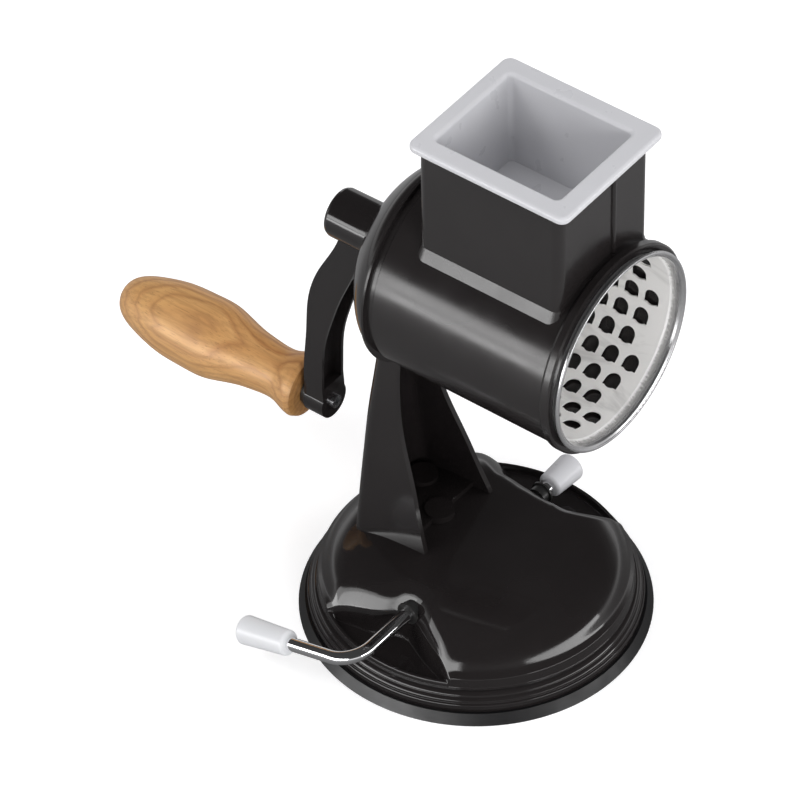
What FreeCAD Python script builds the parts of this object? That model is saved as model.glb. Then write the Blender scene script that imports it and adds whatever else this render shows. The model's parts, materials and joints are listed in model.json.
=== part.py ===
import FreeCAD, Part
import math
import os

# Hand-cranked rotary drum grater on a suction base. Millimetres.
# Origin: centre of the base on the table. +X: out of the drum's mouth. +Z: up.

V = FreeCAD.Vector
X = V(1, 0, 0)
Y = V(0, 1, 0)
Z = V(0, 0, 1)

# ---- main axes
DRUM_AXIS_Z = 199.3
GRIP_AXIS_Z = 80.0
LEVER_AXIS_X = 1.0
LEVER_AXIS_Z = 31.5
LEVER_YAW_DEG = -1.3

# ---- general clearances and walls
RUN_FIT = 0.06
FACE_GAP = 0.3
SLIDE_GAP = 0.4

# ---- base shell
WALL_R = 73.5
WALL_Z = 15.5
GROOVE_OUT = 0.5
GROOVE_Z = 13.5
STEP_OUT = 2.1
STEP_Z = 11.3
SKIRT_TOP_OUT = 4.1
SKIRT_TOP_Z = 9.0
SKIRT_OUT = 4.5
LIP_TOP_OUT = 5.5
LIP_OUT = 8.5
LIP_HEIGHT = 5.0
CREASE_IN = 2.9
CREASE_Z = 22.8
WALL_TOP_IN = 0.8
WALL_TOP_Z = 20.6
DOME_APEX_Z = 44.0
DOME_EDGE_SLOPE_DEG = 56.0
DOME_CURVE = [(1.0, 0.0), (0.963, 0.212), (0.9065, 0.415), (0.8215, 0.604), (0.708, 0.764),
              (0.496, 0.92), (0.283, 0.981), (0.0, 1.0)]
SHELL_WALL = 2.4
SKIRT_WALL = 2.4

LIP_R = WALL_R + LIP_OUT
LIP_TOP_R = WALL_R + LIP_TOP_OUT
SKIRT_R = WALL_R + SKIRT_OUT
SKIRT_TOP_R = WALL_R + SKIRT_TOP_OUT
STEP_R = WALL_R + STEP_OUT
GROOVE_R = WALL_R + GROOVE_OUT

# ---- finger pockets of the base
POCKET_FLOOR_Z = 14.5
POCKET_RIM_T = 2.5
POCKET_RIM_Z = 18.0
POCKET_EDGE_R = 1.5
NEAR_POCKET_APEX = 51.0
NEAR_POCKET = [(-46.0, 9.0), (-33.0, 7.4), (-26.0, 6.8), (-20.0, 6.2), (-14.0, 4.9), (-8.0, 2.3),
               (-3.5, 0.4), (0.0, 0.0), (3.5, 0.4), (8.0, 1.8), (14.0, 4.0), (20.0, 6.5),
               (27.0, 9.2), (35.0, 12.2), (46.0, 16.5)]
FAR_POCKET_APEX = 48.0
FAR_POCKET = [(-42.0, 16.0), (-33.0, 12.5), (-26.0, 9.5), (-20.0, 6.2), (-14.0, 3.0), (-8.0, 0.9),
              (-3.0, 0.1), (2.0, 0.0), (8.0, 0.1), (14.0, 0.7), (20.0, 2.3), (25.0, 4.6),
              (30.0, 8.2), (35.0, 13.5), (40.0, 21.0)]
POCKET_RIM_R = WALL_R - POCKET_RIM_T

# ---- suction cup and its stem
CUP_THICKNESS = 2.4
CUP_PULL = 5.0
CUP_SAG = 1.6
CUP_CENTRE_R = 16.0
STEM_FLANGE_R = 15.0
STEM_FLANGE_T = 2.5
STEM_WIDTH = 12.0
STEM_DEPTH = 9.0
STEM_TOP_WALL = 1.8
STEM_SIDE_WALL = 3.0
JOURNAL_THROW = 1.5
JOURNAL_HALF = 6.0
EYE_GAP = 0.65

# ---- suction lever
ROD_R = 3.25
ROD_BUSH_R = 4.6
ROD_BUSH_RIM_R = 5.6
ROD_BUSH_RIM_T = 1.0
ROD_BUSH_LENGTH = 5.0
ROD_BUSH_SPOT = 0.3
ROD_BEND_OUT = 9.7
ROD_BEND_R = 13.0
ARM_LENGTH = 66.0
ARM_SLOPE_DEG = 15.5
CAP_INNER_R = 6.0
CAP_OUTER_R = 7.0
NEAR_CAP_LENGTH = 28.0
FAR_CAP_GAP = 4.4
FAR_CAP_LENGTH = 18.0
CAP_END_WALL = 3.0
CAP_EDGE = 1.6
ROD_BEND_Y = -(LIP_R + ROD_BEND_OUT)
FAR_CAP_START_Y = FAR_POCKET_APEX + ROD_BUSH_RIM_T + FAR_CAP_GAP
ROD_FAR_Y = FAR_CAP_START_Y + FAR_CAP_LENGTH - CAP_END_WALL

# ---- column
COLUMN_WALL = 2.6
COLUMN_HALF_BASE = 26.4
COLUMN_TAPER = 0.143
COLUMN_TAPER_Z = 41.0
COLUMN_CORNER_R = 8.0
COLUMN_HEAD_Z = 149.0
COLUMN_FLOOR_T = 3.0
COLUMN_FRONT = [(-6.0, 30.0), (-9.3, 42.0), (-14.6, 57.0), (-20.0, 74.0), (-25.3, 88.5),
                (-30.0, 103.0), (-33.0, 118.6), (-34.3, 132.0), (-34.8, 150.0)]
COLUMN_REAR = [(-51.5, 30.0), (-51.7, 63.0), (-51.4, 86.0), (-51.0, 104.0),
               (-49.9, 121.0), (-48.7, 150.0)]
COLUMN_TOP_FRONT = (-24.5, 156.0)
COLUMN_TOP_REAR = (-45.0, 172.0)
COLUMN_FLOOR_FRONT_X = -19.0
FOOT_BOSS_R = 7.0
FOOT_BOSS_TOP = 47.5
FOOT_BOSS_CAP = 1.5
FOOT_SCREWS = [(-20.0, -1.0), (-40.0, 13.0), (-40.0, -13.0)]
HEAD_SCREW_X = -35.5
HEAD_SCREW_Y = 4.2
HEAD_SCREW_LENGTH = 14.0

# ---- screws
SCREW_R = 1.9
SCREW_HEAD_R = 3.6
SCREW_HEAD_T = 2.4
SCREW_PAD_R = 5.2
SCREW_PAD_Z = 35.5
CROSS_LENGTH = 4.0
CROSS_WIDTH = 0.9
CROSS_DEPTH = 1.1

# ---- drum housing
BARREL_WALL = 2.5
BARREL_ROOM = 1.6
COLLAR_OUT = 1.4
COLLAR_X = 71.0
MOUTH_X = 76.4
BEAD_OUT = 1.9
BEAD_X = -24.5
BEAD_TUBE = 1.2
GROOVE_FRONT_X = -20.0
GROOVE_IN = 0.7
BARREL_REAR_X = -26.0
HOPPER_X0 = -6.7
HOPPER_X1 = 69.3
HOPPER_HALF = 32.85
HOPPER_CORNER_R = 4.5
HOPPER_TOP_Z = 295.0
HOPPER_WALL = 2.2
FLARE_TOP_Z = 239.8
FLARE_BOTTOM_Z = 232.6
FLARE_OUT = 2.6
RIB_Y = 6.5
RIB_R = 1.3

# ---- rear cover
COVER_IN = 0.1
COVER_CURVE = [(0.0, 0.0), (4.0, 1.9), (9.0, 6.6), (13.8, 12.6), (17.2, 19.0), (18.9, 27.0),
               (19.3, 36.0)]
COVER_WALL = 2.5
SPIGOT_LENGTH = 6.0
SPIGOT_GAP = 0.1
BOSS_OUTER_R = 13.0
BOSS_REAR_X = -49.6
BOSS_FRONT_X = -30.0

# ---- shaft, bush and rings
SHAFT_R = 5.0
SHAFT_REAR_X = -70.0
SHAFT_ROUND_END_X = -22.0
SHAFT_SQUARE = 7.0
SHAFT_FRONT_X = -4.0
BUSH_R = 8.0
BUSH_FLANGE_R = 12.0
BUSH_FLANGE_T = 2.0
CLIP_X = -26.9
CLIP_T = 1.2
CLIP_GROOVE_R = 4.2
CLIP_R = 8.0
WASHER_R = 10.0
WASHER_T = 0.8

# ---- crank
HUB_R = 12.0
HUB_OUTER_X = -76.2
HUB_INNER_X = -50.7
ARM_HALF = 8.0
ARM_OUTER = [(-70.4, 190.4), (-75.2, 179.5), (-81.9, 166.6), (-88.6, 145.2),
             (-90.1, 124.9), (-91.8, 105.3), (-92.1, 92.6)]
ARM_INNER = [(-81.7, 92.2), (-81.4, 104.9), (-80.5, 117.8), (-76.1, 135.7),
             (-70.0, 154.3), (-63.5, 170.1), (-59.0, 186.0)]
ARM_END_R = 9.0
ARM_OUTER_FACE_X = -92.1
ARM_INNER_FACE_X = -81.2
ARM_LIP = 1.6
ARM_RECESS = 5.0
ARM_RECESS_TOP_Z = 168.0
ARM_RECESS_LOW_Z = 91.0
ARM_SCREW_R = 2.0
ARM_SCREW_HEAD_R = 3.3
ARM_SCREW_HEAD_T = 1.8

# ---- grip
GRIP_PROFILE = [(-204.0, 0.0), (-203.3, 4.6), (-201.0, 8.4), (-196.0, 11.9), (-187.0, 15.1),
                (-173.0, 18.1), (-160.0, 18.8), (-148.0, 18.6), (-140.0, 16.8), (-130.0, 14.3),
                (-120.0, 12.9), (-113.0, 12.4), (-108.0, 13.0), (-103.0, 14.7), (-98.5, 15.7)]
GRIP_FACE_X = -95.3
GRIP_FACE_R = 12.0
SPACER_R = 7.6
SPACER_X = -95.0
SPINDLE_R = 3.2
SPINDLE_END_X = -166.0
SPINDLE_HEAD_R = 4.2
SPINDLE_HEAD_T = 3.0
SPINDLE_THREAD_X = -106.0
GRIP_BUSH_R = 5.0
GRIP_BUSH_END_X = -161.5
GRIP_BORE_END_X = -172.0

# ---- drum
DRUM_R = 45.0
DRUM_SHEET = 0.8
DRUM_REAR_X = -16.0
DRUM_BAND_X = 73.7
DRUM_BAND_STEP = 0.6
DRUM_RIM_X = 80.3
DRUM_RIM_OUT = 3.2
DRUM_ROLL = 1.0
DRUM_FLARE = 3.0
HOLE_ROWS = 26
HOLE_PITCH = 10.9
HOLE_TURNS = 8
HOLE_FIRST_X = 61.2
HOLE_FIRST_DEG = -24.2
HOLE_MIN_X = 6.0
HOLE_MAX_X = 66.5
HOLE_R = 3.9
EAR_X = 3.9
EAR_Y = 3.2
EAR_ROOT_X = 2.3
BACK_PLATE_T = 1.0
BACK_PLATE_X = -13.0
SOCKET_R = 11.0
SOCKET_NOSE_R = 8.5
SOCKET_FRONT_X = 2.0
SOCKET_REAR_X = -20.5
SOCKET_FLANGE_R = 18.0
SOCKET_FLANGE_T = 2.5
SOCKET_GAP = 0.1
RIVET_PCD_R = 14.8
RIVET_R = 1.5
RIVET_HEAD_R = 2.6
RIVET_COUNT = 3

# ---- pusher
PUSHER_OVER_REAR = 2.9
PUSHER_OVER_FRONT = 5.3
PUSHER_OVER_SIDE = 4.1
PUSHER_CORNER_R = 4.6
PUSHER_REST_GAP = 0.3
PUSHER_FLANGE_T = 4.1
PUSHER_EDGE_R = 1.6
PUSHER_BROW_R = 2.0
PUSHER_IN_REAR = 5.3
PUSHER_IN_FRONT = 4.9
PUSHER_IN_SIDE = 5.6
PUSHER_CUP_R = 2.6
PUSHER_NIP = 5.7
PUSHER_TAPER = 2.0
PUSHER_WALL = 2.0

BARREL_BORE_R = DRUM_R + BARREL_ROOM
BARREL_R = BARREL_BORE_R + BARREL_WALL
COLLAR_R = BARREL_R + COLLAR_OUT
BEAD_R = BARREL_R + BEAD_OUT
HOUSING_GROOVE_R = BARREL_R - GROOVE_IN
COVER_RIM_R = BARREL_R - COVER_IN
DRUM_RIM_R = DRUM_R + DRUM_RIM_OUT
PUSHER_TOP_Z = HOPPER_TOP_Z + PUSHER_REST_GAP + PUSHER_FLANGE_T
PUSHER_FLOOR_Z = DRUM_AXIS_Z + DRUM_R + PUSHER_NIP + PUSHER_WALL
PUSHER_CUP_X0 = HOPPER_X0 + PUSHER_IN_REAR
PUSHER_CUP_X1 = HOPPER_X1 - PUSHER_IN_FRONT
PUSHER_CUP_HALF = HOPPER_HALF - PUSHER_IN_SIDE


def face_from(edges):
    return Part.Face(Part.Wire(edges))


def polygon(points):
    return Part.Face(Part.makePolygon(points + [points[0]]))


def spline(points):
    curve = Part.BSplineCurve()
    curve.interpolate(points)
    return curve.toShape()


def line(a, b):
    return Part.LineSegment(a, b).toShape()


def revolve_z(profile):
    """Solid of revolution about Z from closed (r, z) points."""
    return polygon([V(r, 0, z) for r, z in profile]).revolve(V(0, 0, 0), Z, 360)


def revolve_x(profile, axis_z):
    """Solid of revolution about the X-parallel axis at height axis_z, from (x, r) points."""
    return polygon([V(x, 0, axis_z + r) for x, r in profile]).revolve(V(0, 0, axis_z), X, 360)


def rod_x(x0, x1, r, y=0.0, z=DRUM_AXIS_Z):
    return Part.makeCylinder(r, x1 - x0, V(x0, y, z), X)


def tube_x(x0, x1, outer, inner, z=DRUM_AXIS_Z):
    return rod_x(x0, x1, outer, 0.0, z).cut(rod_x(x0 - 1, x1 + 1, inner, 0.0, z))


def rod_z(x, y, z0, z1, r):
    return Part.makeCylinder(r, z1 - z0, V(x, y, z0), Z)


def rounded_prism(x0, x1, half, corner, z0, z1):
    """Upright block, symmetric in Y, with rounded upright corners."""
    block = Part.makeBox(x1 - x0, 2 * half, z1 - z0, V(x0, -half, z0))
    upright = []
    for edge in block.Edges:
        a, b = [v.Point for v in edge.Vertexes]
        if abs(a.z - b.z) > 0.5 * (z1 - z0) and abs(a.x - b.x) < 1e-6:
            upright.append(edge)
    return block.makeFillet(corner, upright)


def rounded_wire(x0, x1, half, corner, z):
    """Closed rounded-rectangle wire at height z."""
    c = corner
    k = c * (1 - math.sqrt(0.5))
    edges = [
        line(V(x0 + c, -half, z), V(x1 - c, -half, z)),
        Part.Arc(V(x1 - c, -half, z), V(x1 - k, -half + k, z), V(x1, -half + c, z)).toShape(),
        line(V(x1, -half + c, z), V(x1, half - c, z)),
        Part.Arc(V(x1, half - c, z), V(x1 - k, half - k, z), V(x1 - c, half, z)).toShape(),
        line(V(x1 - c, half, z), V(x0 + c, half, z)),
        Part.Arc(V(x0 + c, half, z), V(x0 + k, half - k, z), V(x0, half - c, z)).toShape(),
        line(V(x0, half - c, z), V(x0, -half + c, z)),
        Part.Arc(V(x0, -half + c, z), V(x0 + k, -half + k, z), V(x0 + c, -half, z)).toShape(),
    ]
    return Part.Wire(edges)


def frustum(lower, upper):
    return Part.makeLoft([lower, upper], True, True)


def yawed(shape):
    turned = shape.copy()
    turned.translate(V(LEVER_AXIS_X, 0, 0))
    turned.rotate(V(LEVER_AXIS_X, 0, 0), Z, LEVER_YAW_DEG)
    return turned


def union(shapes):
    return shapes[0].multiFuse(shapes[1:]).removeSplitter()


def cross_recess(face_x, toward, y, z):
    """Cross-head driver recess sunk from face_x; toward is +1 or -1 along X."""
    x0 = min(face_x, face_x + toward * CROSS_DEPTH)
    flat = Part.makeBox(CROSS_DEPTH, CROSS_LENGTH, CROSS_WIDTH,
                        V(x0, y - CROSS_LENGTH / 2, z - CROSS_WIDTH / 2))
    tall = Part.makeBox(CROSS_DEPTH, CROSS_WIDTH, CROSS_LENGTH,
                        V(x0, y - CROSS_WIDTH / 2, z - CROSS_LENGTH / 2))
    return flat.fuse(tall)


# ------------------------------------------------------------------ base

def dome_arc(inset):
    """Dome meridian from the crease to the axis, moved inwards by inset."""
    edge_r = WALL_R - CREASE_IN - inset
    edge_z = CREASE_Z - 0.5 * inset
    rise = DOME_APEX_Z - inset - edge_z
    slope = math.radians(DOME_EDGE_SLOPE_DEG)
    curve = Part.BSplineCurve()
    curve.interpolate(Points=[V(edge_r * a, 0, edge_z + rise * b) for a, b in DOME_CURVE],
                      InitialTangent=V(-math.cos(slope), 0, math.sin(slope)),
                      FinalTangent=V(-1, 0, 0))
    return curve.toShape()


def dome_body(inset, outline):
    """Solid below the dome; outline lists the (r, z) points under its crease."""
    arc = dome_arc(inset)
    start = V(WALL_R - CREASE_IN - inset, 0, CREASE_Z - 0.5 * inset)
    apex = V(0, 0, DOME_APEX_Z - inset)
    corners = [V(0, 0, LIP_HEIGHT)] + [V(r, 0, z) for r, z in outline] + [start]
    edges = [line(a, b) for a, b in zip(corners, corners[1:])]
    edges.append(arc)
    edges.append(line(apex, V(0, 0, LIP_HEIGHT)))
    return face_from(edges).revolve(V(0, 0, 0), Z, 360)


def base_outer():
    return dome_body(0.0, [(SKIRT_R, LIP_HEIGHT), (SKIRT_TOP_R, SKIRT_TOP_Z), (STEP_R, STEP_Z),
                           (GROOVE_R, GROOVE_Z), (WALL_R, WALL_Z),
                           (WALL_R - WALL_TOP_IN, WALL_TOP_Z)])


def base_inner():
    skirt = WALL_R + min(SKIRT_TOP_OUT, SKIRT_OUT) - SKIRT_WALL
    wall = WALL_R - SHELL_WALL
    return dome_body(SHELL_WALL, [(skirt, LIP_HEIGHT), (skirt, SKIRT_TOP_Z - SKIRT_WALL),
                                  (wall, STEP_Z), (wall, WALL_Z),
                                  (wall - WALL_TOP_IN, WALL_TOP_Z - 0.4 * SHELL_WALL)])


def pocket_apex(side):
    return NEAR_POCKET_APEX if side < 0 else FAR_POCKET_APEX


def pocket_prism(side, grow, z0):
    """Upright prism over one finger pocket; side is -1 (near) or +1 (far)."""
    outline = NEAR_POCKET if side < 0 else FAR_POCKET
    back = [V(x, side * (pocket_apex(side) - grow + d), z0) for x, d in outline]
    reach = side * (SKIRT_R + 20.0)
    outer = [back[-1], V(back[-1].x, reach, z0), V(back[0].x, reach, z0), back[0]]
    edges = [spline(back)] + [line(a, b) for a, b in zip(outer, outer[1:])]
    rise = DOME_APEX_Z + 20.0 - z0
    return face_from(edges).extrude(V(0, 0, rise))


def pocket_air(side, grow):
    """Space taken out of the dome by one pocket; the low rim round it stays."""
    top = DOME_APEX_Z + 30.0
    low = pocket_prism(side, grow, POCKET_FLOOR_Z - grow)
    low = low.common(rod_z(0, 0, 0, top, POCKET_RIM_R - grow))
    if grow > 0:
        return low
    return low.fuse(pocket_prism(side, grow, POCKET_RIM_Z))


def rounded_brow(solid, radius):
    """Rounds the edges where the pockets' upright walls meet the dome."""
    brow = []
    for edge in solid.Edges:
        box = edge.BoundBox
        if box.XLength > 20.0 and box.ZMax > 0.8 * DOME_APEX_Z:
            if box.YMin > 0.5 * FAR_POCKET_APEX or box.YMax < -0.5 * NEAR_POCKET_APEX:
                brow.append(edge)
    return solid.makeFillet(radius, brow)


def lever_bore(radius):
    bore = Part.makeCylinder(radius, 2 * WALL_R, V(0, -WALL_R, LEVER_AXIS_Z), Y)
    return yawed(bore)


def bush_spot(side):
    """Flat round seat for a bush's rim, cut where the pocket wall curves forward."""
    face = V(0, side * pocket_apex(side), LEVER_AXIS_Z)
    reach = POCKET_RIM_R - pocket_apex(side)
    return yawed(Part.makeCylinder(ROD_BUSH_RIM_R + ROD_BUSH_SPOT, reach, face, V(0, side, 0)))


def base_solid():
    """Outer form of the base with both pockets and their rounded brows."""
    outer = base_outer()
    for side in (-1, 1):
        outer = outer.cut(pocket_air(side, 0.0))
    return rounded_brow(outer.removeSplitter(), POCKET_EDGE_R)


def base_hollow():
    """Inner form of the base, one wall inside its outer form."""
    inner = base_inner()
    for side in (-1, 1):
        inner = inner.cut(pocket_air(side, SHELL_WALL))
    return inner.removeSplitter()


def base_shell():
    outer = base_solid()
    inner = base_hollow()
    pieces = [outer.cut(inner)]
    for x, y in FOOT_SCREWS:
        pieces.append(rod_z(x, y, SCREW_PAD_Z, FOOT_BOSS_TOP, SCREW_PAD_R).common(inner))
    shell = union(pieces)
    shell = shell.cut(lever_bore(ROD_BUSH_R))
    for side in (-1, 1):
        shell = shell.cut(bush_spot(side))
    for x, y in FOOT_SCREWS:
        shell = shell.cut(rod_z(x, y, SCREW_PAD_Z - 1.0, FOOT_BOSS_TOP + 1.0, SCREW_R))
    return shell.removeSplitter()


def suction_cup():
    """Rubber disc: thick lip under the skirt, thin middle pulled up by the stem."""
    low = [(0.0, CUP_PULL), (CUP_CENTRE_R, CUP_PULL), (WALL_R - 13.5, CUP_SAG),
           (WALL_R + 4.5, 0.0), (LIP_R, 0.0)]
    high = [(LIP_TOP_R, LIP_HEIGHT), (WALL_R - 1.5, LIP_HEIGHT),
            (WALL_R - 13.5, CUP_SAG + CUP_THICKNESS), (CUP_CENTRE_R, CUP_PULL + CUP_THICKNESS),
            (0.0, CUP_PULL + CUP_THICKNESS)]
    return revolve_z(low + high)


# ------------------------------------------------------------------ suction lever group

def eye_centre_z():
    return LEVER_AXIS_Z + JOURNAL_THROW


def cup_stem():
    """Flanged stem whose eye surrounds the offset middle of the lever's rod."""
    foot_z = CUP_PULL + CUP_THICKNESS
    eye_half_h = ROD_R + EYE_GAP
    eye_half_w = ROD_R + JOURNAL_THROW + EYE_GAP
    top = eye_centre_z() + eye_half_h + STEM_TOP_WALL
    flange = rod_z(0, 0, foot_z, foot_z + STEM_FLANGE_T, STEM_FLANGE_R)
    width = 2 * eye_half_w + 2 * STEM_SIDE_WALL
    post = Part.makeBox(STEM_WIDTH, STEM_DEPTH, eye_centre_z() - foot_z,
                        V(-STEM_WIDTH / 2, -STEM_DEPTH / 2, foot_z))
    head_low = eye_centre_z() - eye_half_h - STEM_TOP_WALL
    head = Part.makeBox(width, STEM_DEPTH, top - head_low, V(-width / 2, -STEM_DEPTH / 2, head_low))
    eye = Part.makeBox(2 * eye_half_w, STEM_DEPTH + 2, 2 * eye_half_h,
                       V(-eye_half_w, -STEM_DEPTH / 2 - 1, eye_centre_z() - eye_half_h))
    return yawed(union([flange, post, head]).cut(eye))


def rod_bushes():
    """Two flanged bushes that carry the rod in the walls of the finger pockets."""
    bushes = []
    for side in (-1, 1):
        face = V(0, side * pocket_apex(side), LEVER_AXIS_Z)
        out = V(0, side, 0)
        rim = Part.makeCylinder(ROD_BUSH_RIM_R, ROD_BUSH_RIM_T, face, out)
        low = face - out * (ROD_BUSH_LENGTH - ROD_BUSH_RIM_T)
        sleeve = Part.makeCylinder(ROD_BUSH_R, ROD_BUSH_LENGTH, low, out)
        bore = Part.makeCylinder(ROD_R + RUN_FIT, ROD_BUSH_LENGTH + 2, low - out, out)
        bushes.append(yawed(union([rim, sleeve]).cut(bore)))
    return Part.makeCompound(bushes)


def arm_direction():
    slope = math.radians(ARM_SLOPE_DEG)
    return V(-math.cos(slope), 0, -math.sin(slope))


def suction_lever():
    """Bent rod: straight through the base with an offset middle, then an arm sloping down."""
    corner = V(0, ROD_BEND_Y, LEVER_AXIS_Z)
    along = V(0, -1, 0)
    arm = arm_direction()
    turn = math.acos(along.dot(arm))
    tangent = ROD_BEND_R * math.tan(turn / 2)
    a = corner - along * tangent
    b = corner + arm * tangent
    inward = (arm - along).normalize()
    centre = corner + inward * (ROD_BEND_R / math.cos(turn / 2))
    middle = centre - inward * ROD_BEND_R
    end = corner + arm * (ARM_LENGTH - CAP_END_WALL)
    near = V(0, -JOURNAL_HALF, LEVER_AXIS_Z)
    path = Part.Wire([line(near, a), Part.Arc(a, middle, b).toShape(), line(b, end)])
    ring = Part.Wire([Part.makeCircle(ROD_R, near, along)])
    bent = path.makePipeShell([ring], True, True)
    far = Part.makeCylinder(ROD_R, ROD_FAR_Y - JOURNAL_HALF, V(0, JOURNAL_HALF, LEVER_AXIS_Z), Y)
    journal = Part.makeCylinder(ROD_R, 2 * JOURNAL_HALF, V(0, -JOURNAL_HALF, eye_centre_z()), Y)
    return yawed(union([bent, far, journal]))


def cap(start, direction, length):
    """Tapered cap with a rounded end and a blind bore for the rod."""
    outer = Part.makeCone(CAP_INNER_R, CAP_OUTER_R, length, start, direction)
    round_edges = []
    for edge in outer.Edges:
        if len(edge.Vertexes) == 1 and edge.Curve.TypeId == "Part::GeomCircle":
            round_edges.append(edge)
    outer = outer.makeFillet(CAP_EDGE, round_edges)
    bore = Part.makeCylinder(ROD_R, length - CAP_END_WALL, start, direction)
    return outer.cut(bore)


def lever_cap_near():
    corner = V(0, ROD_BEND_Y, LEVER_AXIS_Z)
    arm = arm_direction()
    return yawed(cap(corner + arm * (ARM_LENGTH - NEAR_CAP_LENGTH), arm, NEAR_CAP_LENGTH))


def lever_cap_far():
    return yawed(cap(V(0, FAR_CAP_START_Y, LEVER_AXIS_Z), Y, FAR_CAP_LENGTH))


# ------------------------------------------------------------------ drum housing and cover

def housing_profile():
    return [(BARREL_REAR_X, COVER_RIM_R), (BEAD_X - BEAD_TUBE, COVER_RIM_R),
            (BEAD_X - 0.7 * BEAD_TUBE, BEAD_R - 0.3), (BEAD_X, BEAD_R),
            (BEAD_X + 0.7 * BEAD_TUBE, BEAD_R - 0.3), (BEAD_X + BEAD_TUBE, HOUSING_GROOVE_R),
            (GROOVE_FRONT_X - 0.6, HOUSING_GROOVE_R), (GROOVE_FRONT_X, BARREL_R),
            (COLLAR_X, BARREL_R), (COLLAR_X + 0.6, BARREL_R + 0.7), (COLLAR_X + 1.6, COLLAR_R),
            (MOUTH_X - 0.8, COLLAR_R), (MOUTH_X, COLLAR_R - 0.8)]


def drum_housing():
    barrel_profile = [(BARREL_REAR_X, 0.0)] + housing_profile()
    barrel_profile += [(MOUTH_X, 0.0)]
    barrel = revolve_x(barrel_profile, DRUM_AXIS_Z)
    hopper = rounded_prism(HOPPER_X0, HOPPER_X1, HOPPER_HALF, HOPPER_CORNER_R,
                           DRUM_AXIS_Z, HOPPER_TOP_Z)
    out = FLARE_OUT
    flare = frustum(
        rounded_wire(HOPPER_X0 - out, HOPPER_X1 + 0.6 * out, HOPPER_HALF + out,
                     HOPPER_CORNER_R + out, FLARE_BOTTOM_Z),
        rounded_wire(HOPPER_X0, HOPPER_X1, HOPPER_HALF, HOPPER_CORNER_R, FLARE_TOP_Z))
    rib = rod_z(HOPPER_X1, RIB_Y, DRUM_AXIS_Z, HOPPER_TOP_Z - 1.5, RIB_R)
    body = union([barrel, hopper, flare, rib])
    body = body.cut(rod_x(BARREL_REAR_X - 1, MOUTH_X + 1, BARREL_BORE_R))
    chute = rounded_prism(HOPPER_X0 + HOPPER_WALL, HOPPER_X1 - HOPPER_WALL,
                          HOPPER_HALF - HOPPER_WALL, HOPPER_CORNER_R - 1.5,
                          DRUM_AXIS_Z, HOPPER_TOP_Z + 1)
    return body.cut(chute).removeSplitter()


def cover_envelope(inset):
    """Domed outer form of the rear cover, moved inwards by inset."""
    span = COVER_CURVE[-1][0]
    rim = COVER_RIM_R - inset
    shrink = (span - inset) / span
    arc = [V(BARREL_REAR_X - shrink * x, 0, DRUM_AXIS_Z + rim - shrink * d) for x, d in COVER_CURVE]
    back = V(arc[-1].x, 0, DRUM_AXIS_Z)
    front = V(BARREL_REAR_X, 0, DRUM_AXIS_Z)
    edges = [line(front, arc[0]), spline(arc), line(arc[-1], back), line(back, front)]
    return face_from(edges).revolve(V(0, 0, DRUM_AXIS_Z), X, 360)


def head_screw_places():
    return [(HEAD_SCREW_X, HEAD_SCREW_Y), (HEAD_SCREW_X, -HEAD_SCREW_Y)]


def rear_cover():
    shell = cover_envelope(0.0).cut(cover_envelope(COVER_WALL))
    spigot = tube_x(BARREL_REAR_X - 1.5, BARREL_REAR_X + SPIGOT_LENGTH,
                    BARREL_BORE_R - SPIGOT_GAP, BARREL_BORE_R - SPIGOT_GAP - COVER_WALL)
    boss = rod_x(BOSS_REAR_X, BOSS_FRONT_X, BOSS_OUTER_R)
    body = union([shell, spigot, boss])
    body = body.cut(rod_x(BOSS_REAR_X - 1, BOSS_FRONT_X + 1, BUSH_R))
    for x, y in head_screw_places():
        body = body.cut(rod_z(x, y, COLUMN_HEAD_Z, COLUMN_HEAD_Z + HEAD_SCREW_LENGTH + 8.0, SCREW_R))
    return body.removeSplitter()


def shaft_bush():
    sleeve = rod_x(BOSS_REAR_X, BOSS_FRONT_X, BUSH_R)
    flange = rod_x(BOSS_FRONT_X, BOSS_FRONT_X + BUSH_FLANGE_T, BUSH_FLANGE_R)
    bore = rod_x(BOSS_REAR_X - 1, BOSS_FRONT_X + BUSH_FLANGE_T + 1, SHAFT_R + RUN_FIT)
    return union([sleeve, flange]).cut(bore)


# ------------------------------------------------------------------ column

def side_silhouette(front, rear, head):
    """XZ face between the front and rear curves, closed over the top by the head points."""
    front_pts = [V(x, 0, z) for x, z in front]
    rear_pts = [V(x, 0, z) for x, z in rear]
    top = [front_pts[-1]] + [V(x, 0, z) for x, z in head] + [rear_pts[-1]]
    edges = [spline(front_pts)]
    edges += [line(a, b) for a, b in zip(top, top[1:])]
    edges.append(spline(rear_pts[::-1]))
    edges.append(line(rear_pts[0], front_pts[0]))
    face = face_from(edges)
    face.translate(V(0, -60, 0))
    return face.extrude(V(0, 120, 0))


def column_width(z):
    return COLUMN_HALF_BASE - COLUMN_TAPER * (z - COLUMN_TAPER_Z)


def front_silhouette(inset, top):
    low = 25.0
    a = column_width(low) - inset
    b = column_width(top) - inset
    face = polygon([V(-70, -a, low), V(-70, a, low), V(-70, b, top), V(-70, -b, top)])
    return face.extrude(V(120, 0, 0))


def rear_edges(solid):
    """Near-upright edges along the rear corners."""
    found = []
    for edge in solid.Edges:
        box = edge.BoundBox
        if box.ZLength > 60 and box.XMax < -40:
            found.append(edge)
    return found


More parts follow.
